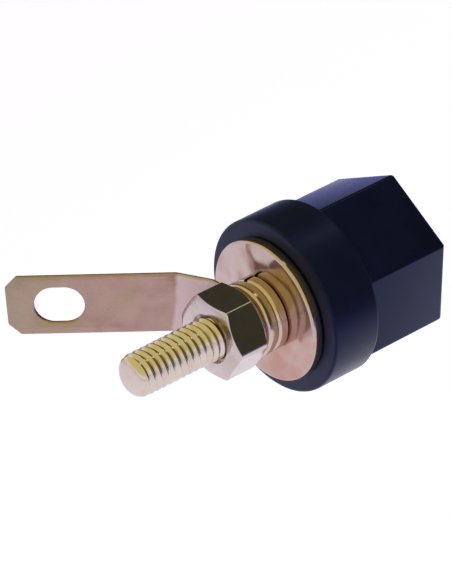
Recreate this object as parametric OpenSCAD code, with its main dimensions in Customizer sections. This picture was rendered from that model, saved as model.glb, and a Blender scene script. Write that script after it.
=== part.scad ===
// Panel-mounting binding post with a 4 mm socket, an M4 rear stud and a solder lug.
// Origin: centre of the collar's panel face. +Y runs along the stud, behind the panel.
// -Y runs towards the user, through the knob. +Z is up. Millimetres.

/* [Collar] */
// Outer diameter of the insulating collar
collar_d = 16; // [14:0.5:22]
// Length of the collar, along the post
collar_len = 5; // [4.5:0.1:8]
// Rounding of the collar's outer edges
collar_round = 0.25; // [0.1:0.05:0.8]
// Thickness of the collar's floor, between the post's flange and the panel
collar_floor = 1.8; // [1.2:0.1:3]

/* [Knob] */
// Width of the hexagonal knob, across its flats
knob_af = 13.5; // [12.5:0.5:18]
// Length of the knob, along the post
knob_len = 8.7; // [8:0.1:14]
// Turn of the knob's corners about the post, in degrees
knob_angle = 31; // [0:1:59]
// Chamfer round the knob's front end
knob_chamfer = 0.5; // [0.2:0.1:1.2]
// Front wall of the knob, in front of its brass bush
knob_wall = 1.8; // [1.2:0.1:2.5]
// Gap between the tightened knob and the collar
knob_gap = 0.05; // [0.03:0.01:0.2]

/* [Knob bush] */
// Outer diameter of the brass bush in the knob
bush_d = 8.8; // [8.2:0.1:9.6]
// Clearance all round between the bush and the knob
bush_fit = 0.03; // [0.02:0.01:0.08]

/* [Post] */
// Outer diameter of the barrel that the knob screws on
barrel_d = 6; // [5.6:0.1:6.4]
// Clearance all round between the barrel and the bush's bore
barrel_fit = 0.05; // [0.02:0.01:0.1]
// Clearance all round between the barrel and the hole in the knob's front wall
front_fit = 0.25; // [0.15:0.05:0.5]
// Depth of the barrel's end below the knob's front face
barrel_recess = 0.4; // [0.2:0.1:0.8]
// Bore of the plug socket
socket_d = 4; // [3.6:0.1:4.2]
// Depth of the plug socket
socket_depth = 10.5; // [7:0.5:10.5]
// Diameter of the wire hole across the barrel
wire_hole_d = 2; // [1.2:0.1:2.4]
// Width across the flats of the flange that locks in the collar
flange_af = 9; // [8:0.1:10]
// Clearance all round between the flange and its recess
flange_fit = 0.1; // [0.05:0.05:0.2]

/* [Stud] */
// Outer diameter of the stud's thread
stud_d = 3.9; // [3.7:0.1:4.1]
// Length of the stud behind the collar
stud_len = 16.1; // [13:0.1:25]
// Chamfer at the stud's end
stud_chamfer = 0.4; // [0.2:0.1:0.8]
// Clearance all round between the stud and the holes it passes through
stud_fit = 0.15; // [0.1:0.05:0.3]
// Depth below the stud's surface at which its thread meets the nut's thread
thread_depth = 0.2; // [0.18:0.01:0.3]
// Gap all round between the stud's thread and the nut's
thread_fit = 0.03; // [0.02:0.01:0.06]

/* [Fixings] */
// Outer diameter of the large washer
washer_d = 13; // [11:0.5:14]
// Thickness of the large washer
washer_t = 1.1; // [0.8:0.1:2]
// Outer diameter of the spring washer and of the plain washer
small_washer_d = 6.8; // [6.2:0.1:7]
// Thickness of the spring washer
spring_washer_t = 1.2; // [0.8:0.1:1.6]
// Width of the cut through the spring washer
spring_gap = 0.5; // [0.3:0.1:0.8]
// Turn of the spring washer's cut about the stud, in degrees
spring_angle = 70; // [0:5:355]
// Thickness of the plain washer
plain_washer_t = 1.15; // [0.5:0.05:1.6]
// Width of the nut, across its flats
nut_af = 7; // [6.8:0.1:7.5]
// Thickness of the nut
nut_t = 3.4; // [2.4:0.1:4]
// Width of the nut's countersinks, past the stud's surface
nut_sink = 0.1; // [0.05:0.05:0.3]

/* [Solder lug] */
// Thickness of the lug's sheet
lug_t = 0.45; // [0.4:0.05:0.6]
// Width of the lug's tab
lug_w = 5.8; // [5:0.1:6.6]
// Outer diameter of the lug's ring
lug_ring_d = 6.4; // [6.2:0.1:7]
// Distance from the ring's edge to the first bend
bend1_gap = 0.1; // [0.1:0.05:1]
// First bend out of the ring's plane, in degrees
bend1 = 23.5; // [10:0.5:24]
// Length of the neck, from the first bend to the second
neck_len = 3.25; // [3:0.05:7]
// Second bend, in degrees
bend2 = 22; // [0:1:50]
// Length of the tab, from the second bend to its end
tab_len = 14.75; // [11:0.05:20]
// Radius of both bends, on the inner side
bend_round = 0.5; // [0.2:0.1:1]
// Turn of the lug about the stud, in degrees
lug_angle = -5.5; // [-45:0.5:45]
// Length of the slot in the tab
slot_len = 4.4; // [3.6:0.1:6]
// Width of the slot in the tab
slot_w = 3.45; // [2:0.05:3.6]
// Distance from the slot to the end of the tab
slot_edge = 2.4; // [1.8:0.1:4]
// Size of the cut corners at the tab's end
tab_corner = 1.05; // [0.4:0.05:1.6]

/* [Hidden] */

ROUND_FN = 96;
THROUGH = 1;
// Radius of a hexagon's corner circle, for one unit of width across its flats
HEX_CORNER = 1 / sqrt(3);
// A nut's corners are cut back at this slope, from a circle this share of its width across flats
NUT_CHAMFER_SLOPE = 30;
NUT_FACE_SHARE = 0.94;

// Stations along the post
collar_front_y = -collar_len;
flange_rear_y = -collar_floor;
knob_rear_y = collar_front_y - knob_gap;
knob_front_y = knob_rear_y - knob_len;
bush_front_y = knob_front_y + knob_wall;
barrel_front_y = knob_front_y + barrel_recess;
wire_hole_y = knob_rear_y - wire_hole_d / 2 - 0.2;
spring_washer_y = washer_t;
plain_washer_y = spring_washer_y + spring_washer_t;
lug_rear_y = plain_washer_y + plain_washer_t;
lug_front_y = lug_rear_y + lug_t;
nut_front_y = lug_front_y + nut_t;

stud_hole_d = stud_d + 2 * stud_fit;
thread_r = stud_d / 2 - thread_depth;
nut_corner_r = nut_af * HEX_CORNER;
nut_face_r = nut_af / 2 * NUT_FACE_SHARE;
// The first bend starts clear of the ring's edge and of the nut's face
bend1_r = max(lug_ring_d / 2 + bend1_gap, nut_face_r);

// Turns a shape made along +Z so that it runs along +Y, starting at a station
module along_y(y) {
    translate([0, y, 0]) rotate([-90, 0, 0]) children();
}

// A straight hexagonal bar from one station to another, with a corner at an angle above +X
module hex_bar(af, y0, y1, angle) {
    along_y(y0) rotate(-angle) cylinder(d = 2 * af * HEX_CORNER, h = y1 - y0, $fn = 6);
}

// A plain round washer
module ring(outer_d, t, y) {
    difference() {
        along_y(y) cylinder(d = outer_d, h = t, $fn = ROUND_FN);
        along_y(y - THROUGH) cylinder(d = stud_hole_d, h = t + 2 * THROUGH, $fn = ROUND_FN);
    }
}

// Rear stud, drawn at the thread's outside and, within the nut, where the two threads meet
module stud() {
    r = stud_d / 2;
    along_y(0) rotate_extrude($fn = ROUND_FN) {
        polygon([[0, flange_rear_y - THROUGH], [r, flange_rear_y - THROUGH], [r, lug_front_y],
                 [thread_r, lug_front_y], [thread_r, nut_front_y], [r, nut_front_y],
                 [r, stud_len - stud_chamfer], [r - stud_chamfer, stud_len], [0, stud_len]]);
    }
}

// One turned piece: threaded barrel with its socket, locking flange and rear stud
module post() {
    color([0.86, 0.78, 0.62]) difference() {
        union() {
            along_y(barrel_front_y) {
                cylinder(d = barrel_d, h = collar_front_y - barrel_front_y + THROUGH, $fn = ROUND_FN);
            }
            hex_bar(flange_af, collar_front_y, flange_rear_y, 0);
            stud();
        }
        along_y(barrel_front_y - THROUGH) {
            cylinder(d = socket_d, h = socket_depth + THROUGH, $fn = ROUND_FN);
        }
        translate([-barrel_d, wire_hole_y, 0]) rotate([0, 90, 0]) {
            cylinder(d = wire_hole_d, h = 2 * barrel_d, $fn = ROUND_FN);
        }
    }
}

// Insulating base ring, with a recess that keeps the post's flange from turning
module collar() {
    r = collar_d / 2;
    e = collar_round;
    color([0.06, 0.06, 0.09]) difference() {
        along_y(collar_front_y) rotate_extrude($fn = ROUND_FN) {
            polygon([[0, 0], [r - e, 0], [r, e], [r, collar_len - e], [r - e, collar_len],
                     [0, collar_len]]);
        }
        hex_bar(flange_af + 2 * flange_fit, collar_front_y - THROUGH, flange_rear_y, 0);
        along_y(flange_rear_y - THROUGH) {
            cylinder(d = stud_hole_d, h = collar_floor + 2 * THROUGH, $fn = ROUND_FN);
        }
    }
}

// Hexagonal plastic grip, open at its front over the socket
module knob() {
    corner_r = knob_af * HEX_CORNER;
    color([0.06, 0.06, 0.09]) difference() {
        intersection() {
            hex_bar(knob_af, knob_front_y, knob_rear_y, knob_angle);
            along_y(knob_front_y) rotate_extrude($fn = ROUND_FN) {
                polygon([[0, 0], [corner_r - knob_chamfer, 0], [corner_r, knob_chamfer],
                         [corner_r, knob_len], [0, knob_len]]);
            }
        }
        along_y(bush_front_y) {
            cylinder(d = bush_d + 2 * bush_fit, h = knob_len, $fn = ROUND_FN);
        }
        along_y(knob_front_y - THROUGH) {
            cylinder(d = barrel_d + 2 * front_fit, h = knob_wall + 2 * THROUGH, $fn = ROUND_FN);
        }
    }
}

// Brass bush that carries the knob's thread
module knob_bush() {
    front_y = bush_front_y + bush_fit;
    color([0.80, 0.66, 0.38]) difference() {
        along_y(front_y) cylinder(d = bush_d, h = knob_rear_y - front_y, $fn = ROUND_FN);
        along_y(front_y - THROUGH) {
            cylinder(d = barrel_d + 2 * barrel_fit, h = knob_len + THROUGH, $fn = ROUND_FN);
        }
    }
}

module large_washer() {
    color([0.84, 0.74, 0.70]) ring(washer_d, washer_t, 0);
}

// Split washer, shown flat as it is when the nut is tight
module spring_washer() {
    color([0.80, 0.72, 0.62]) difference() {
        ring(small_washer_d, spring_washer_t, spring_washer_y);
        rotate([0, -spring_angle, 0]) {
            translate([0, spring_washer_y - THROUGH, -spring_gap / 2]) {
                cube([small_washer_d, spring_washer_t + 2 * THROUGH, spring_gap]);
            }
        }
    }
}

module plain_washer() {
    color([0.84, 0.74, 0.66]) ring(small_washer_d, plain_washer_t, plain_washer_y);
}

// Points of an arc that starts at a point, heading along an angle and turning left by a turn
function arc(start, heading, turn, r, steps = 6) =
    [for (i = [0:steps])
        let (a = heading + turn * i / steps)
        start + r * [sin(a) - sin(heading), cos(heading) - cos(a)]];

function ahead(start, heading, distance) =
    start + distance * [cos(heading), sin(heading)];

function last(points) = points[len(points) - 1];

// Side view of one face of the lug, from its first bend out, with both bends of one radius
function lug_line(y, r) =
    let (
        first = arc([bend1_r, y], 0, bend1, r),
        second = arc(ahead(last(first), bend1, neck_len), bend1, bend2, r)
    )
    concat(first, second, [ahead(last(second), bend1 + bend2, tab_len)]);

function lug_front_line() = lug_line(lug_front_y, bend_round);

function lug_back_line() = lug_line(lug_rear_y, bend_round + lug_t);

function reversed(points) = [for (i = [len(points) - 1:-1:0]) points[i]];

// Places a shape at the tab's end, with +X running back along the tab and +Y out of its front face
module at_tab_end() {
    end = last(lug_front_line());
    translate([end.x, end.y, 0]) rotate([0, 0, 180 + bend1 + bend2]) mirror([0, 1, 0]) children();
}

// Slot and cut corners, seen looking at the front of the tab
module tab_cuts() {
    depth = lug_t + 2 * THROUGH;
    half = slot_w / 2;
    for (x = [slot_edge + half, slot_edge + slot_len - half]) {
        translate([x, THROUGH, 0]) rotate([90, 0, 0]) {
            cylinder(r = half, h = depth, $fn = ROUND_FN);
        }
    }
    translate([slot_edge + half, THROUGH - depth, -half]) {
        cube([slot_len - slot_w, depth, slot_w]);
    }
    for (side = [0, 1]) {
        mirror([0, 0, side]) translate([0, THROUGH, lug_w / 2]) rotate([90, 0, 0]) {
            linear_extrude(depth) {
                polygon([[-THROUGH, THROUGH], [tab_corner + THROUGH, THROUGH],
                         [-THROUGH, -tab_corner - THROUGH]]);
            }
        }
    }
}

// Stamped tag: a ring under the nut, a short neck and a slotted tab
module solder_lug() {
    root = concat([[0, lug_rear_y], [0, lug_front_y]], lug_front_line(), reversed(lug_back_line()));
    color([0.66, 0.55, 0.50]) rotate([0, -lug_angle, 0]) difference() {
        union() {
            along_y(lug_rear_y) cylinder(d = lug_ring_d, h = lug_t, $fn = ROUND_FN);
            translate([0, 0, -lug_w / 2]) linear_extrude(lug_w) polygon(root);
        }
        along_y(lug_rear_y - THROUGH) {
            cylinder(d = stud_hole_d, h = lug_t + 2 * THROUGH, $fn = ROUND_FN);
        }
        at_tab_end() tab_cuts();
    }
}

// Full hexagon nut, chamfered outside and countersunk inside at both faces
module nut() {
    cut = (nut_corner_r - nut_face_r) * tan(NUT_CHAMFER_SLOPE);
    bore_r = thread_r + thread_fit;
    sink = thread_depth + nut_sink;
    color([0.72, 0.66, 0.50]) intersection() {
        hex_bar(nut_af, lug_front_y, nut_front_y, 0);
        along_y(lug_front_y) rotate_extrude($fn = ROUND_FN) {
            polygon([[bore_r + sink, 0], [nut_face_r, 0], [nut_corner_r, cut],
                     [nut_corner_r, nut_t - cut], [nut_face_r, nut_t], [bore_r + sink, nut_t],
                     [bore_r, nut_t - sink], [bore_r, sink]]);
        }
    }
}

post();
collar();
knob();
knob_bush();
large_washer();
spring_washer();
plain_washer();
solder_lug();
nut();
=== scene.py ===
"""Looks of a panel-mounting binding post: plastic collar and knob, brass post, fixings and a solder lug."""

import math

import bmesh
import bpy
from mathutils import Matrix, Vector


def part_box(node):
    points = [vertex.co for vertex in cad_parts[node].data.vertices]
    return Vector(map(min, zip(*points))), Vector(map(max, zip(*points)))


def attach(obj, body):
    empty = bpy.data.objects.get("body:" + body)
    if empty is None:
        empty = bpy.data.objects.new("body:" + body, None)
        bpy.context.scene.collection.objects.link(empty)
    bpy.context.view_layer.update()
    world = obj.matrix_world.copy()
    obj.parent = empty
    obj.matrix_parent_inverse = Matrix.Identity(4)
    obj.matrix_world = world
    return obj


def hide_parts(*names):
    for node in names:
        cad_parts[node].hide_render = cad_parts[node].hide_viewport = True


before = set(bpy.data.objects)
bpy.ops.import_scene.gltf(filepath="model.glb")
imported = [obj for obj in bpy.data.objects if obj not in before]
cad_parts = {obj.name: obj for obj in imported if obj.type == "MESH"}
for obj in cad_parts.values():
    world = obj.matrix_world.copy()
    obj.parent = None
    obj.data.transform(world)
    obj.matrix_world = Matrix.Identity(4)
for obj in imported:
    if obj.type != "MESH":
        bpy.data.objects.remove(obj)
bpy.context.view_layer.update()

MM = 0.001

# ---------------------------------------------------------------- sizes, in millimetres

# Camera: the photograph is a long-lens view from behind the panel side, above and to the left.
VIEW_AZIMUTH = 229.31
VIEW_ELEVATION = 34.72
VIEW_ROLL = -0.22
VIEW_DISTANCE = 346.93
VIEW_LENS = 253.3
ORIGIN_RIGHT = 4.07
ORIGIN_DOWN = 1.64

# Radius of the hole that the stud passes through, in the collar, the washers and the lug.
STUD_HOLE = 2.1

# Threads: their pitches, the groove's depth as a share of the pitch, and the steps in a turn.
STUD_PITCH, BARREL_PITCH = 0.7, 1.0
THREAD_DEPTH = 0.42
TURN_STEPS = 64

# The stud's rounded end: its length, and how far it comes in from the stud's radius.
STUD_CROWN = 1.0
STUD_CROWN_IN = 0.85

# The post's flange and the recess that holds it: ends along Y, and sizes across the flats.
FLANGE_FRONT, FLANGE_REAR = -5.0, -1.8
FLANGE_FLATS, RECESS_FLATS = 9.0, 9.2

KNOB_CORNER = math.radians(31)
NUT_CHAMFER_SLOPE = math.radians(30)
BEND_1 = math.radians(23.5)
BEND_2 = math.radians(22)
LUG_TURN = math.radians(-5.5)

# Points closer than these are merged: in a mesh as made, along its slivers, and after a boolean.
DOUBLE, SLIVER, SPECK = 1e-5, 1e-6, 0.0004

# A loose bit with fewer faces than this is what a boolean left over.
SMALLEST_PART = 12


def span(node):
    """Lowest and highest corner of a CAD node, in millimetres."""
    lo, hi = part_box(node)
    return lo / MM, hi / MM


# ---------------------------------------------------------------- meshes


def new_object(name, mesh):
    """An object for a mesh, with its vertices taken from millimetres to metres."""
    mesh.transform(Matrix.Scale(MM, 4))
    piece = bpy.data.objects.new(name, mesh)
    bpy.context.scene.collection.objects.link(piece)
    return piece


def mesh_of(name, verts, faces):
    """A mesh without doubled points, its faces turned outwards."""
    mesh = bpy.data.meshes.new(name)
    mesh.from_pydata(verts, [], faces)
    bm = bmesh.new()
    bm.from_mesh(mesh)
    bmesh.ops.remove_doubles(bm, verts=bm.verts, dist=DOUBLE)
    bmesh.ops.dissolve_degenerate(bm, edges=bm.edges, dist=SLIVER)
    bmesh.ops.recalc_face_normals(bm, faces=bm.faces)
    bm.to_mesh(mesh)
    bm.free()
    return mesh


def loft(name, rings, closed=False):
    """Joins rings of equal length with faces, the last to the first if closed. Else it caps both ends."""
    count = len(rings[0])
    verts = [point for ring in rings for point in ring]
    faces = []
    for i in range(len(rings) - (0 if closed else 1)):
        a, b = i * count, (i + 1) % len(rings) * count
        for j in range(count):
            k = (j + 1) % count
            faces.append((a + j, a + k, b + k, b + j))
    if not closed:
        faces.append(tuple(range(count)))
        faces.append(tuple(range((len(rings) - 1) * count, len(rings) * count)))
    return mesh_of(name, verts, faces)


def angles(start, sweep, steps):
    """Evenly spaced angles over a sweep, both ends included."""
    return [start + sweep * k / steps for k in range(steps + 1)]


def corner_radius(flats):
    """Centre to corner of a hexagon across the given flats."""
    return flats / 2 / math.cos(math.pi / 6)


def circle_ring(r, y, count, start=0.0):
    turns = [start + 2 * math.pi * i / count for i in range(count)]
    return [(r * math.cos(a), y, r * math.sin(a)) for a in turns]


def revolved(name, profile, closed=False, count=192):
    """A turned shape from (y, radius) stations."""
    return loft(name, [circle_ring(r, y, count) for y, r in profile], closed)


def rounded(points, radius, steps=5):
    """Rounds the corners of a closed (y, radius) profile. radius is one number, or one for each corner."""
    out = []
    n = len(points)
    for i, p in enumerate(points):
        size = radius[i] if isinstance(radius, (list, tuple)) else radius
        here = Vector(p)
        before, after = Vector(points[i - 1]) - here, Vector(points[(i + 1) % n]) - here
        reach = min(size, before.length * 0.45, after.length * 0.45)
        if reach <= 0:
            out.append(tuple(here))
            continue
        a, b = here + before.normalized() * reach, here + after.normalized() * reach
        for s in range(steps + 1):
            t = s / steps
            q = a * (1 - t) ** 2 + here * 2 * t * (1 - t) + b * t**2
            out.append(tuple(q))
    return out


def hex_ring(flats, corner_round, y, angle, steps=6):
    """A hexagon across the given flats, with rounded corners, at a station."""
    ring = []
    inner = (flats / 2 - corner_round) / math.cos(math.pi / 6)
    for k in range(6):
        at = angle + k * math.pi / 3
        cx, cz = inner * math.cos(at), inner * math.sin(at)
        for s in range(steps + 1):
            turn = at - math.pi / 6 + math.pi / 3 * s / steps
            ring.append((cx + corner_round * math.cos(turn), y, cz + corner_round * math.sin(turn)))
    return ring


def threaded_bar(name, major, pitch, y0, y1):
    """A bar from y0 to y1 with a right-hand V thread, made along its helix so that its crests are crisp."""
    root = -THREAD_DEPTH * pitch
    flank = root * 0.80
    shoulder = -0.02 * pitch
    section = [(0.0, root), (0.10, root), (0.20, flank), (0.43, shoulder), (0.47, 0.0),
               (0.60, 0.0), (0.64, shoulder), (0.87, flank), (0.97, root)]
    turns = int(math.ceil((y1 - y0) / pitch)) + 2
    rows = len(section)
    verts, faces = [], []
    steps = turns * TURN_STEPS
    for i in range(steps + 1):
        angle = 2 * math.pi * i / TURN_STEPS
        for share, drop in section:
            y = y0 - pitch + (i / TURN_STEPS + share) * pitch
            r = major + drop
            verts.append((r * math.cos(angle), y, -r * math.sin(angle)))
    for i in range(steps):
        for j in range(rows - 1):
            a = i * rows + j
            faces.append((a, a + 1, a + rows + 1, a + rows))
        if i + 1 + TURN_STEPS <= steps:
            a = i * rows + rows - 1
            b = (i + TURN_STEPS) * rows
            faces.append((a, b, b + rows, a + rows))
    bm = bmesh.new()
    made = [bm.verts.new(v) for v in verts]
    for f in faces:
        bm.faces.new([made[i] for i in f])
    bmesh.ops.holes_fill(bm, edges=[e for e in bm.edges if e.is_boundary], sides=0)
    bmesh.ops.recalc_face_normals(bm, faces=bm.faces)
    mesh = bpy.data.meshes.new(name)
    bm.to_mesh(mesh)
    bm.free()
    return mesh


def combine(first, second, operation):
    """first changed by a boolean with second, whose mesh isn't kept. Both meshes are in millimetres."""
    a = bpy.data.objects.new("first", first)
    b = bpy.data.objects.new("second", second)
    for piece in (a, b):
        bpy.context.scene.collection.objects.link(piece)
    tool = a.modifiers.new("combine", "BOOLEAN")
    tool.operation = operation
    tool.solver = "EXACT"
    tool.object = b
    bpy.context.view_layer.update()
    result = bpy.data.meshes.new_from_object(a.evaluated_get(bpy.context.evaluated_depsgraph_get()))
    for piece in (a, b):
        mesh = piece.data
        bpy.data.objects.remove(piece)
        bpy.data.meshes.remove(mesh)
    return result


def connected(start):
    """The faces that join up with a face through shared edges."""
    found, frontier = {start}, [start]
    while frontier:
        for line in frontier.pop().edges:
            for face in line.link_faces:
                if face not in found:
                    found.add(face)
                    frontier.append(face)
    return found


def clean_mesh(mesh):
    """Merges points that a boolean left almost in one place, and drops the specks it left loose."""
    bm = bmesh.new()
    bm.from_mesh(mesh)
    bmesh.ops.triangulate(bm, faces=bm.faces)
    bmesh.ops.remove_doubles(bm, verts=bm.verts, dist=SPECK)
    bmesh.ops.dissolve_degenerate(bm, edges=bm.edges, dist=SPECK)
    seen = set()
    for face in bm.faces:
        if face in seen:
            continue
        part = connected(face)
        seen |= part
        if len(part) < SMALLEST_PART:
            bmesh.ops.delete(bm, geom=list(part), context="FACES")
    bmesh.ops.recalc_face_normals(bm, faces=bm.faces)
    bm.to_mesh(mesh)
    bm.free()


def finish_piece(mesh, name, node, material, body, sharp=30):
    """The piece that stands for a CAD node, smooth up to the sharp angle, with its material and body."""
    mesh.materials.clear()
    clean_mesh(mesh)
    piece = new_object(name, mesh)
    piece.data.name = name
    piece.data.polygons.foreach_set("use_smooth", [True] * len(piece.data.polygons))
    piece.data.set_sharp_from_angle(angle=math.radians(sharp))
    piece.data.materials.append(material)
    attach(piece, body)
    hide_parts(node)
    return piece


# ---------------------------------------------------------------- materials


class Nodes:
    """Short calls for building a material's node tree."""

    def __init__(self, name):
        self.material = bpy.data.materials.new(name)
        self.material.use_nodes = True
        self.tree = self.material.node_tree
        self.shader = self.tree.nodes["Principled BSDF"]
        self.place = self.add("ShaderNodeTexCoord").outputs["Object"]

    def add(self, kind, **values):
        node = self.tree.nodes.new(kind)
        for key, value in values.items():
            setattr(node, key, value)
        return node

    def link(self, source, target):
        self.tree.links.new(source, target)

    def stretched(self, scale):
        """The object's coordinates, scaled by an amount for each axis."""
        node = self.add("ShaderNodeMapping")
        node.inputs["Scale"].default_value = scale
        self.link(self.place, node.inputs["Vector"])
        return node.outputs["Vector"]

    def noise(self, scale, detail=3.0, rough=0.5, vector=None, distortion=0.0):
        node = self.add("ShaderNodeTexNoise")
        node.inputs["Scale"].default_value = scale
        node.inputs["Detail"].default_value = detail
        node.inputs["Roughness"].default_value = rough
        node.inputs["Distortion"].default_value = distortion
        self.link(vector or self.place, node.inputs["Vector"])
        return node.outputs["Fac"]

    def ramp(self, source, stops):
        """A colour ramp; each stop is (position, colour or grey)."""
        node = self.add("ShaderNodeValToRGB")
        while len(node.color_ramp.elements) < len(stops):
            node.color_ramp.elements.new(0.5)
        for element, (position, colour) in zip(node.color_ramp.elements, stops):
            element.position = position
            element.color = (*colour, 1) if isinstance(colour, tuple) else (colour, colour, colour, 1)
        self.link(source, node.inputs["Fac"])
        return node.outputs["Color"]

    def mix(self, factor, a, b):
        node = self.add("ShaderNodeMix", data_type="RGBA")
        for key, value in (("Factor", factor), ("A", a), ("B", b)):
            socket = node.inputs[key]
            if isinstance(value, (int, float)):
                socket.default_value = value
            elif isinstance(value, tuple):
                socket.default_value = (*value, 1)
            else:
                self.link(value, socket)
        return node.outputs["Result"]

    def bump(self, height, strength, distance):
        node = self.add("ShaderNodeBump")
        node.inputs["Strength"].default_value = strength
        node.inputs["Distance"].default_value = distance
        self.link(height, node.inputs["Height"])
        normal = self.shader.inputs["Normal"]
        if normal.is_linked:
            self.link(normal.links[0].from_socket, node.inputs["Normal"])
        self.link(node.outputs["Normal"], normal)


# How strongly the scratches and the plastic's grain stand out, and their heights in metres.
SCRATCH_BUMP, SCRATCH_HEIGHT = 0.25, 0.000012
WAVE_HEIGHT = 0.0003
GRAIN_BUMP, GRAIN_HEIGHT = 0.12, 0.00002

# The lug's length in metres that its plating colours and painted highlight are spread over, and how far
# noise shifts them.
LUG_REACH = 0.022
LUG_SHIFT = 0.0004


def plated_nodes(name, light, deep, tint, rough, scratch_scale, waves=0.0):
    """Bright plating over brass: cloudy colour, fine scratches and, with waves, a slightly wavy face."""
    n = Nodes(name)
    cloud = n.noise(420, 4, 0.55, distortion=0.6)
    colour = n.ramp(cloud, [(0.32, deep), (0.62, light)])
    patch = n.ramp(n.noise(190, 3, 0.6), [(0.48, 0.0), (0.72, 0.75)])
    n.link(n.mix(patch, colour, tint), n.shader.inputs["Base Color"])
    scratches = n.noise(1, 5, 0.65, vector=n.stretched(scratch_scale))
    gloss = n.ramp(scratches, [(0.30, rough * 0.75), (0.75, rough * 1.5)])
    n.link(gloss, n.shader.inputs["Roughness"])
    n.bump(scratches, SCRATCH_BUMP, SCRATCH_HEIGHT)
    if waves:
        n.bump(n.noise(260, 1, 0.5), waves, WAVE_HEIGHT)
    n.shader.inputs["Metallic"].default_value = 1.0
    return n


def plated_metal(name, *look, waves=0.0):
    """The material of plated_nodes, with the same values."""
    return plated_nodes(name, *look, waves=waves).material


def lug_plating_with_painted_highlight(name):
    """The lug's plating: tan along the tab and olive towards its end, under a painted highlight that makes
    the ring, the first bend and the neck paler and the second bend palest.
    """
    light, deep, tint = (0.42, 0.27, 0.22), (0.36, 0.23, 0.185), (0.37, 0.27, 0.17)
    highlight_colour, olive_colour = (0.53, 0.40, 0.37), (0.335, 0.285, 0.175)
    n = plated_nodes(name, light, deep, tint, 0.24, (500, 500, 2600))
    along = n.add("ShaderNodeSeparateXYZ")
    n.link(n.place, along.inputs[0])
    shifted = n.add("ShaderNodeMath", operation="MULTIPLY_ADD")
    n.link(n.noise(600, 2, 0.5), shifted.inputs[0])
    shifted.inputs[1].default_value = LUG_SHIFT
    n.link(along.outputs["X"], shifted.inputs[2])
    reach = n.add("ShaderNodeMapRange")
    reach.inputs["From Max"].default_value = LUG_REACH
    n.link(shifted.outputs[0], reach.inputs["Value"])
    plain = n.shader.inputs["Base Color"].links[0].from_socket
    # Painted highlight: the ring, the first bend and the neck paler, the second bend palest.
    painted_highlight = n.ramp(reach.outputs["Result"], [(0.24, 0.70), (0.290, 1.0), (0.306, 1.0), (0.316, 0.0)])
    olive = n.ramp(reach.outputs["Result"], [(0.50, 0.0), (0.90, 0.9)])
    n.link(n.mix(olive, n.mix(painted_highlight, plain, highlight_colour), olive_colour), n.shader.inputs["Base Color"])
    return n.material


def moulded_plastic(name, base, lighter, rough):
    """Near-black moulded plastic with a faint grain."""
    n = Nodes(name)
    colour = n.ramp(n.noise(260, 3, 0.6), [(0.35, base), (0.75, lighter)])
    n.link(colour, n.shader.inputs["Base Color"])
    grain = n.noise(5200, 3, 0.6)
    gloss = n.ramp(n.noise(700, 3, 0.6), [(0.3, rough * 0.9), (0.7, rough * 1.15)])
    n.link(gloss, n.shader.inputs["Roughness"])
    n.bump(grain, GRAIN_BUMP, GRAIN_HEIGHT)
    n.shader.inputs["IOR"].default_value = 1.38
    n.shader.inputs["Specular IOR Level"].default_value = 0.52
    n.shader.inputs["Specular Tint"].default_value = (0.20, 0.34, 1.0, 1)
    return n.material


BLACK = (0.0035, 0.0045, 0.010)
BLACK_LIFTED = (0.005, 0.006, 0.016)

collar_plastic = moulded_plastic("collar_plastic", BLACK, BLACK_LIFTED, 0.34)
knob_plastic = moulded_plastic("knob_plastic", BLACK, BLACK_LIFTED, 0.16)
post_brass = plated_metal("post_brass", (0.64, 0.55, 0.47), (0.60, 0.50, 0.36), (0.60, 0.47, 0.42),
                          0.16, (2200, 300, 2200))
bush_brass = plated_metal("bush_brass", (0.70, 0.58, 0.36), (0.64, 0.50, 0.28), (0.68, 0.54, 0.32),
                          0.22, (1800, 400, 1800))
washer_plate = plated_metal("washer_plate", (0.56, 0.43, 0.39), (0.52, 0.40, 0.33), (0.45, 0.22, 0.14),
                            0.13, (700, 3000, 700), waves=0.8)
small_plate = plated_metal("small_plate", (0.58, 0.47, 0.39), (0.54, 0.42, 0.31), (0.50, 0.34, 0.27),
                           0.15, (900, 2500, 900), waves=0.4)
nut_plate = plated_metal("nut_plate", (0.58, 0.50, 0.47), (0.52, 0.44, 0.36), (0.54, 0.44, 0.40),
                         0.15, (1500, 1500, 1500), waves=0.15)
lug_plate = lug_plating_with_painted_highlight("lug_plate")

# ---------------------------------------------------------------- pieces


def make_collar():
    lo, hi = span("collar")
    mouth_edge, rim_edge = 0.12, 0.28
    recess = corner_radius(RECESS_FLATS)
    outline = [(hi.y, STUD_HOLE), (hi.y, hi.x), (lo.y, hi.x), (lo.y, recess)]
    outer = rounded(outline, [mouth_edge, rim_edge, rim_edge, 0.0])
    profile = [*outer, (lo.y, recess), (FLANGE_REAR, recess), (FLANGE_REAR, STUD_HOLE)]
    return finish_piece(revolved("collar", profile, closed=True), "collar_shell", "collar",
                        collar_plastic, "base")


def make_knob():
    lo, hi = span("knob")
    flats, corner, smallest_corner = 13.5, 0.35, 0.05
    rear_edge, front_edge = 0.2, 0.40
    opening, opening_edge, bush_bore, wall = 3.25, 0.2, 4.43, 1.8
    steps = 6

    def outline(inset, y):
        return hex_ring(flats - 2 * inset, max(corner - inset, smallest_corner), y, KNOB_CORNER, steps)

    turn = angles(0.0, math.pi / 2, 5)
    rings = [outline(rear_edge * (1 - math.sin(a)), hi.y - rear_edge * (1 - math.cos(a))) for a in turn]
    rings += [outline(front_edge * (1 - math.cos(a)), lo.y + front_edge * (1 - math.sin(a))) for a in turn]
    inside = (
        (opening + opening_edge, lo.y),
        (opening, lo.y + opening_edge),
        (opening, lo.y + wall),
        (bush_bore, lo.y + wall),
        (bush_bore, hi.y),
    )
    rings += [circle_ring(r, y, 6 * (steps + 1), KNOB_CORNER - math.pi / 6) for r, y in inside]
    body = loft("knob", rings, closed=True)
    return finish_piece(body, "knob_grip", "knob", knob_plastic, "grip", sharp=40)


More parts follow.
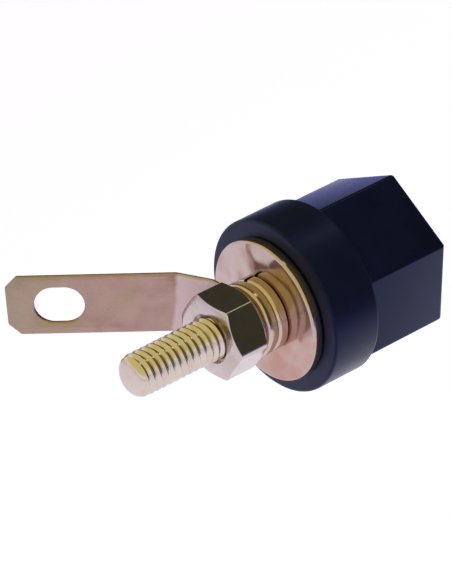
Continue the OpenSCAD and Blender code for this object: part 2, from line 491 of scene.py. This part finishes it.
def make_bush():
    lo, hi = span("knob_bush")
    bore, bore_edge, outer_edge = 3.05, 0.25, 0.1
    outline = [(hi.y, bore), (hi.y, hi.x), (lo.y, hi.x), (lo.y, bore)]
    profile = rounded(outline, [bore_edge, outer_edge, outer_edge, bore_edge])
    return finish_piece(revolved("knob_bush", profile, closed=True), "knob_bush_turned", "knob_bush",
                        bush_brass, "bush")


def make_washer(node, name, material, edge):
    lo, hi = span(node)
    profile = rounded([(hi.y, STUD_HOLE), (hi.y, hi.x), (lo.y, hi.x), (lo.y, STUD_HOLE)], edge)
    return finish_piece(revolved(name, profile, closed=True), name, node, material, "base")


def make_spring_washer():
    lo, hi = span("spring_washer")
    split, split_at = math.radians(8), math.radians(70)
    edge, edge_steps, steps = 0.42, 6, 160
    outline = [(hi.y, STUD_HOLE), (hi.y, hi.z), (lo.y, hi.z), (lo.y, STUD_HOLE)]
    section = rounded(outline, edge, edge_steps)
    rings = []
    for a in angles(split_at + split / 2, 2 * math.pi - split, steps):
        rings.append([(r * math.cos(a), y, r * math.sin(a)) for y, r in section])
    return finish_piece(loft("spring_washer", rings), "spring_washer_ring", "spring_washer",
                        small_plate, "base")


def make_nut():
    lo, hi = span("nut")
    corner_round, face_share, overrun = 0.60, 0.965, 0.001
    hole, sink = 1.98, 0.30
    flats = hi.z - lo.z
    corner = corner_radius(flats)
    face = flats / 2 * face_share
    drop = (corner - face) * math.tan(NUT_CHAMFER_SLOPE)
    prism = loft("nut", [hex_ring(flats, corner_round, y, 0.0) for y in (lo.y, hi.y)])
    cone = revolved("nut_cone", [(lo.y - overrun, face), (lo.y + drop, corner), (hi.y - drop, corner),
                                 (hi.y + overrun, face)])
    body = combine(prism, cone, "INTERSECT")
    drill = revolved("nut_bore", [(lo.y - 1, hole + sink + 1), (lo.y + sink, hole), (hi.y - sink, hole),
                                  (hi.y + 1, hole + sink + 1)])
    body = combine(body, drill, "DIFFERENCE")
    return finish_piece(body, "hex_nut", "nut", nut_plate, "base", sharp=35)


def make_lug():
    y_front, sheet, width = 3.9, 0.45, 5.8
    ring_r, bend_r = 3.2, 0.5
    first, neck, tab = 3.3, 3.25, 14.75
    steps, edge = 8, 0.20

    def line(y, r):
        """One face of the strip seen from its edge, where its first bend has the radius r."""
        points = [(0.0, y), (first, y)]
        for base, bend in ((0.0, BEND_1), (BEND_1, BEND_2)):
            sx, sy = points[-1]
            for s in range(1, steps + 1):
                a = base + bend * s / steps
                across, along = math.sin(a) - math.sin(base), math.cos(base) - math.cos(a)
                points.append((sx + r * across, sy + r * along))
            run = neck if base == 0.0 else tab
            ex, ey = points[-1]
            points.append((ex + run * math.cos(base + bend), ey + run * math.sin(base + bend)))
        return points

    front = line(y_front, bend_r)

    def outline(z, inset):
        """The strip's section at a height z, drawn in by inset where its sheared edge is round."""
        face = line(y_front - inset, bend_r + inset)
        back = line(y_front - sheet + inset, bend_r + sheet - inset)
        return [(x, y, z) for x, y in face + back[::-1]]

    quarter = angles(0.0, math.pi / 2, 6)
    upper = [(width / 2 - edge * (1 - math.sin(a)), edge * (1 - math.cos(a))) for a in quarter]
    lower = [(-z, inset) for z, inset in upper[::-1]]
    strip = loft("lug", [outline(z, inset) for z, inset in lower + upper])
    rim = [(y_front - sheet / 2 + (sheet / 2) * math.sin(a), ring_r - edge * (1 - math.cos(a)))
           for a in angles(-math.pi / 2, math.pi, 12)[1:-1]]
    rim = [(y_front - sheet, ring_r - edge), *rim, (y_front, ring_r - edge)]
    body = combine(strip, revolved("lug_ring", rim, count=128), "UNION")
    hole = revolved("lug_hole", [(y_front - 2, STUD_HOLE), (y_front + 2, STUD_HOLE)], count=128)
    body = combine(body, hole, "DIFFERENCE")

    lean = BEND_1 + BEND_2
    end = Vector((*front[-1], 0))
    along = Vector((-math.cos(lean), -math.sin(lean), 0))
    out = Vector((-math.sin(lean), math.cos(lean), 0))
    up = Vector((0, 0, 1))

    def cutter(outline):
        """A cutter through the tab that flares at both faces. outline(growth) gives its shape there,
        as distances from the tab's end and heights."""
        flare, past = 0.13, 0.5
        levels = ((past, flare + past), (-flare, 0.0), (flare - sheet, 0.0), (-sheet - past, flare + past))
        return loft("cutter", [[tuple(end + along * x + up * z + out * depth) for x, z in outline(grow)]
                               for depth, grow in levels])

    slot_w, slot_len, slot_edge, cut = 3.45, 4.4, 2.4, 1.05

    def stadium(grow):
        r = slot_w / 2
        near, far = slot_edge + r, slot_edge + slot_len - r
        left = [(near + (r + grow) * math.cos(a), (r + grow) * math.sin(a))
                for a in angles(math.pi / 2, math.pi, 48)]
        right = [(far + (r + grow) * math.cos(a), (r + grow) * math.sin(a))
                 for a in angles(-math.pi / 2, math.pi, 48)]
        return left + right

    body = combine(body, cutter(stadium), "DIFFERENCE")
    for side in (-1, 1):
        def corner(grow, side=side):
            reach = cut + grow * math.sqrt(2) + 1
            w = width / 2 * side
            return [(-1, w + side), (reach, w + side), (-1, w - side * reach)]

        body = combine(body, cutter(corner), "DIFFERENCE")
    body.transform(Matrix.Rotation(-LUG_TURN, 4, "Y"))
    return finish_piece(body, "lug_tag", "solder_lug", lug_plate, "base", sharp=50)


def make_post():
    lo, hi = span("post")
    tip, front = hi.y, lo.y
    stud_r, stud_from, blank_r = 1.95, -0.6, 2.2
    neck_r, neck_to = 1.94, -0.3
    barrel_r, sleeve_r, barrel_end_r, lead_in, seat = 3.0, 3.1, 2.6, 0.45, 0.5
    socket_r, socket_mouth, socket_lead, socket_len, socket_point = 2.0, 3.3, 0.3, 10.5, 0.2
    wire_r, wire_y, wire_half = 1.0, -6.25, 8

    stud = threaded_bar("stud", stud_r, STUD_PITCH, stud_from, tip)
    crown = [(tip - STUD_CROWN * (1 - math.sin(a)), stud_r - STUD_CROWN_IN * (1 - math.cos(a)))
             for a in angles(0.0, math.pi / 2, 10)]
    blank = [(stud_from, blank_r), (tip - STUD_CROWN - 0.15, blank_r), *crown]
    stud = combine(stud, revolved("blank", blank, count=128), "INTERSECT")

    barrel = threaded_bar("barrel", barrel_r, BARREL_PITCH, front, FLANGE_FRONT + seat)
    sleeve = [(front, barrel_end_r), (front + lead_in, sleeve_r), (FLANGE_FRONT + seat, sleeve_r)]
    barrel = combine(barrel, revolved("sleeve", sleeve, count=128), "INTERSECT")

    corner = corner_radius(FLANGE_FLATS)
    flange = loft("flange", [
        [(corner * math.cos(k * math.pi / 3), y, corner * math.sin(k * math.pi / 3)) for k in range(6)]
        for y in (FLANGE_FRONT, FLANGE_REAR)
    ])
    neck = revolved("neck", [(FLANGE_REAR - seat, neck_r), (neck_to, neck_r)], count=128)
    body = combine(combine(combine(flange, barrel, "UNION"), neck, "UNION"), stud, "UNION")

    socket = [(front - 1, socket_mouth), (front + socket_lead, socket_r), (front + socket_len, socket_r),
              (front + socket_len + 0.8, socket_point)]
    body = combine(body, revolved("socket", socket, count=128), "DIFFERENCE")
    wire = revolved("wire", [(-wire_half, wire_r), (wire_half, wire_r)], count=64)
    wire.transform(Matrix.Translation((0, wire_y, 0)) @ Matrix.Rotation(math.pi / 2, 4, "Z"))
    body = combine(body, wire, "DIFFERENCE")
    return finish_piece(body, "threaded_post", "post", post_brass, "base", sharp=35)


pieces = [
    make_collar(),
    make_knob(),
    make_bush(),
    make_washer("large_washer", "large_washer_disc", washer_plate, edge=0.26),
    make_washer("plain_washer", "plain_washer_ring", small_plate, edge=0.34),
    make_spring_washer(),
    make_nut(),
    make_lug(),
    make_post(),
]

# ---------------------------------------------------------------- camera, floor and light, in metres

FLOOR_LEVEL, FLOOR_SIZE = -0.09, 6.0
FLOOR_COLOUR = (0.82, 0.81, 0.84)

# Light added to the floor where the camera and the reflections see it.
FLOOR_LIFT = (0.32, 0.32, 0.42)

# The room that the camera and the reflections see, the heights of the change, and the light on the object.
WALLS = (1.0, 1.0, 1.0)
CEILING = (0.82, 0.76, 0.34)
WALLS_TO, CEILING_FROM = 0.12, 0.42
SOFT_LIGHT = (0.45, 0.45, 0.50)

# The sheet that paints reflections: its colours below and above (a painted blue reflection and a painted
# dark one), the heights between which they change, and its arc in degrees.
REFLECTION_SHEET_LOW = (0.24, 0.26, 0.62)
REFLECTION_SHEET_HIGH = (0.055, 0.055, 0.035)
REFLECTION_SHEET_FADE = (-0.06, 0.02)
REFLECTION_SHEET_ARC = (-28, 72)
REFLECTION_SHEET_RADIUS, REFLECTION_SHEET_WIDTH, REFLECTION_SHEET_STEPS = 0.17, 2.0, 24


def view_axes(azimuth, elevation):
    """Right, up and back of a camera at an azimuth and elevation, in degrees."""
    a, e = math.radians(azimuth), math.radians(elevation)
    back = Vector((math.sin(a) * math.cos(e), -math.cos(a) * math.cos(e), math.sin(e)))
    right = Vector((math.cos(a), math.sin(a), 0))
    return right, back.cross(right), back


def make_camera():
    right, up, back = view_axes(VIEW_AZIMUTH, VIEW_ELEVATION)
    c, s = math.cos(math.radians(VIEW_ROLL)), math.sin(math.radians(VIEW_ROLL))
    right, up = right * c + up * s, up * c - right * s
    data = bpy.data.cameras.new("camera")
    data.lens = VIEW_LENS
    data.sensor_width = 36
    data.clip_start, data.clip_end = 0.01, 10
    camera = bpy.data.objects.new("camera", data)
    camera.location = (back * VIEW_DISTANCE - right * ORIGIN_RIGHT + up * ORIGIN_DOWN) * MM
    camera.rotation_mode = "QUATERNION"
    camera.rotation_quaternion = Matrix((right, up, back)).transposed().to_quaternion()
    bpy.context.scene.collection.objects.link(camera)
    bpy.context.scene.camera = camera


def glow(tree, colour):
    """An emission shader of a plain colour, or of a colour from another node."""
    node = tree.nodes.new("ShaderNodeEmission")
    if isinstance(colour, tuple):
        node.inputs["Color"].default_value = (*colour, 1)
    else:
        tree.links.new(colour, node.inputs["Color"])
    return node.outputs[0]


def join(tree, kind, inputs):
    node = tree.nodes.new(kind)
    for socket, source in zip(node.inputs, inputs):
        tree.links.new(source, socket)
    return node.outputs[0]


def background_rays(tree):
    """1 for the rays that see the background: the camera's, reflections and through clear things."""
    path = tree.nodes.new("ShaderNodeLightPath")
    total = path.outputs["Is Camera Ray"]
    for kind in ("Is Glossy Ray", "Is Transmission Ray"):
        either = tree.nodes.new("ShaderNodeMath")
        either.operation = "MAXIMUM"
        tree.links.new(total, either.inputs[0])
        tree.links.new(path.outputs[kind], either.inputs[1])
        total = either.outputs[0]
    return total


def stage_mesh(name, verts, faces, material):
    mesh = bpy.data.meshes.new(name)
    mesh.from_pydata(verts, [], faces)
    mesh.materials.append(material)
    thing = bpy.data.objects.new(name, mesh)
    bpy.context.scene.collection.objects.link(thing)
    return thing


def make_floor():
    """A plain pale floor, white to the camera and in reflections, that keeps the object's shadow."""
    n = Nodes("floor")
    n.shader.inputs["Base Color"].default_value = (*FLOOR_COLOUR, 1)
    n.shader.inputs["Roughness"].default_value = 0.9
    white = join(n.tree, "ShaderNodeAddShader", [n.shader.outputs[0], glow(n.tree, FLOOR_LIFT)])
    seen = join(n.tree, "ShaderNodeMixShader", [background_rays(n.tree), n.shader.outputs[0], white])
    n.link(seen, n.tree.nodes["Material Output"].inputs["Surface"])
    signs = ((-1, -1), (1, -1), (1, 1), (-1, 1))
    corners = [(x * FLOOR_SIZE, y * FLOOR_SIZE, FLOOR_LEVEL) for x, y in signs]
    stage_mesh("floor", corners, [(0, 1, 2, 3)], n.material)


def make_world():
    """White walls under a warm, darker ceiling, and an even soft light."""
    world = bpy.data.worlds.new("world")
    world.use_nodes = True
    bpy.context.scene.world = world
    tree = world.node_tree
    towards = tree.nodes.new("ShaderNodeTexCoord").outputs["Generated"]
    parts = tree.nodes.new("ShaderNodeSeparateXYZ")
    tree.links.new(towards, parts.inputs[0])
    room = tree.nodes.new("ShaderNodeValToRGB")
    stops = ((WALLS_TO, WALLS), (CEILING_FROM, CEILING))
    for element, (height, colour) in zip(room.color_ramp.elements, stops):
        element.position = height
        element.color = (*colour, 1)
    tree.links.new(parts.outputs["Z"], room.inputs["Fac"])
    soft, far = tree.nodes.new("ShaderNodeBackground"), tree.nodes.new("ShaderNodeBackground")
    soft.inputs["Color"].default_value = (*SOFT_LIGHT, 1)
    tree.links.new(room.outputs["Color"], far.inputs["Color"])
    seen = join(tree, "ShaderNodeMixShader", [background_rays(tree), soft.outputs[0], far.outputs[0]])
    tree.links.new(seen, tree.nodes["World Output"].inputs["Surface"])


def make_reflection_sheet():
    """A sheet over the user's side that only reflections show, on the metal and the plastic's gloss: a
    painted reflection, blue low down and dark higher up. It lights nothing and casts no shadow.
    """
    n = Nodes("reflection_sheet")
    heights = n.add("ShaderNodeSeparateXYZ")
    n.link(n.place, heights.inputs[0])
    share = n.add("ShaderNodeMapRange")
    share.inputs["From Min"].default_value = REFLECTION_SHEET_FADE[0]
    share.inputs["From Max"].default_value = REFLECTION_SHEET_FADE[1]
    n.link(heights.outputs["Z"], share.inputs["Value"])
    # Painted reflection colour: blue below, dark above.
    colour = n.mix(share.outputs["Result"], REFLECTION_SHEET_LOW, REFLECTION_SHEET_HIGH)
    n.link(glow(n.tree, colour), n.tree.nodes["Material Output"].inputs["Surface"])
    verts = []
    for i in range(REFLECTION_SHEET_STEPS + 1):
        a = math.radians(REFLECTION_SHEET_ARC[0] + (REFLECTION_SHEET_ARC[1] - REFLECTION_SHEET_ARC[0]) * i / REFLECTION_SHEET_STEPS)
        for x in (-REFLECTION_SHEET_WIDTH / 2, REFLECTION_SHEET_WIDTH / 2):
            verts.append((x, -REFLECTION_SHEET_RADIUS * math.cos(a), REFLECTION_SHEET_RADIUS * math.sin(a)))
    faces = [(2 * i, 2 * i + 1, 2 * i + 3, 2 * i + 2) for i in range(REFLECTION_SHEET_STEPS)]
    reflection_sheet = stage_mesh("reflection_sheet", verts, faces, n.material)
    reflection_sheet.visible_camera = reflection_sheet.visible_diffuse = reflection_sheet.visible_shadow = False


def area_light(name, toward, distance, size, radiance, colour, glossy=True):
    """A rectangular lamp that faces the object, its first side level. radiance 1 looks white."""
    data = bpy.data.lights.new(name, "AREA")
    data.shape = "RECTANGLE"
    data.size, data.size_y = size
    data.energy = radiance * math.pi * size[0] * size[1]
    data.color = colour
    light = bpy.data.objects.new(name, data)
    back = Vector(toward).normalized()
    right = Vector((0, 0, 1)).cross(back).normalized()
    light.location = back * distance
    light.rotation_mode = "QUATERNION"
    light.rotation_quaternion = Matrix((right, back.cross(right), back)).transposed().to_quaternion()
    light.visible_glossy = glossy
    light.visible_camera = False
    bpy.context.scene.collection.objects.link(light)


make_camera()
make_floor()
make_world()
# A sheet that paints reflections only: blue low down, dark higher up.
make_reflection_sheet()
area_light("key", toward=(-0.3, -0.2, 1.0), distance=0.8, size=(0.5, 0.5), radiance=5.0,
           colour=(1.0, 0.98, 0.95), glossy=False)
area_light("glint", toward=(0.10, -0.54, 0.84), distance=0.15, size=(0.022, 0.060), radiance=1.5,
           colour=(1.0, 0.95, 0.70))

bpy.context.scene.view_settings.view_transform = "Standard"
